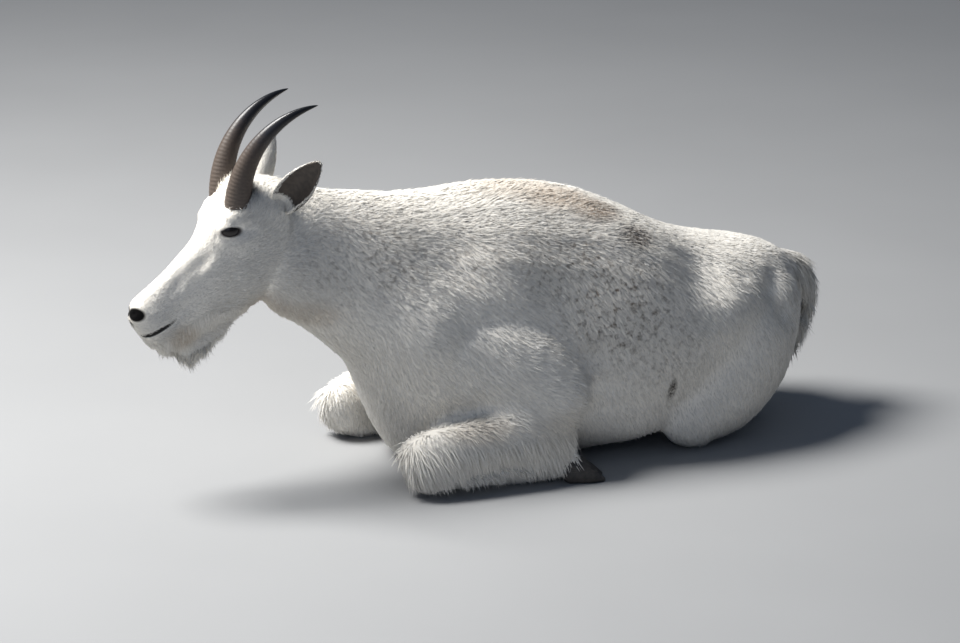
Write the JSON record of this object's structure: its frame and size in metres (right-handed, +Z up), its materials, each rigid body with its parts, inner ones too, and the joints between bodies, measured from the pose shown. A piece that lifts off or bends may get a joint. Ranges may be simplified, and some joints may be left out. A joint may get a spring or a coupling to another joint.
{
  "type": "mountain goat figure",
  "caption": "Life-size mountain goat lying on its chest with folded legs, a short pale coat, a beard and slim back-curved black horns.",
  "frame": {"origin": "centre of the goat's bounding box at floor level", "axes": "-X the way the goat faces, +X its tail, -Y its left side, +Z up; the floor is Z = 0"},
  "size_m": [1.2871, 0.4989, 0.6628],
  "materials": {
    "coat": "short dense off-white hair",
    "long_hair": "longer soft off-white hair",
    "horn": "ringed grey-brown horn with smooth black tips",
    "eye": "wet, very dark brown",
    "hoof": "dull black horn"
  },
  "bodies": {
    "root": {"head": "coat", "neck": "coat", "horn_left": "horn", "eye_left": "eye", "ear_left": "coat", "horn_right": "horn", "eye_right": "eye", "ear_right": "coat", "beard": "long_hair", "tail": "long_hair", "fore_cannon_left": "coat", "hind_cannon_left": "coat", "hoof_fore_left_inner": "hoof", "hoof_fore_left_outer": "hoof", "hoof_hind_left_inner": "hoof", "hoof_hind_left_outer": "hoof", "fore_cannon_right": "coat", "hind_cannon_right": "coat", "hoof_fore_right_inner": "hoof", "hoof_fore_right_outer": "hoof", "hoof_hind_right_inner": "hoof", "hoof_hind_right_outer": "hoof", "upper_foreleg_left": "coat", "thigh_left": "coat", "upper_foreleg_right": "coat", "thigh_right": "coat", "forearm_left": "long_hair", "shank_left": "coat", "forearm_right": "long_hair", "shank_right": "coat", "torso": "coat"}
  },
  "joints": []
}
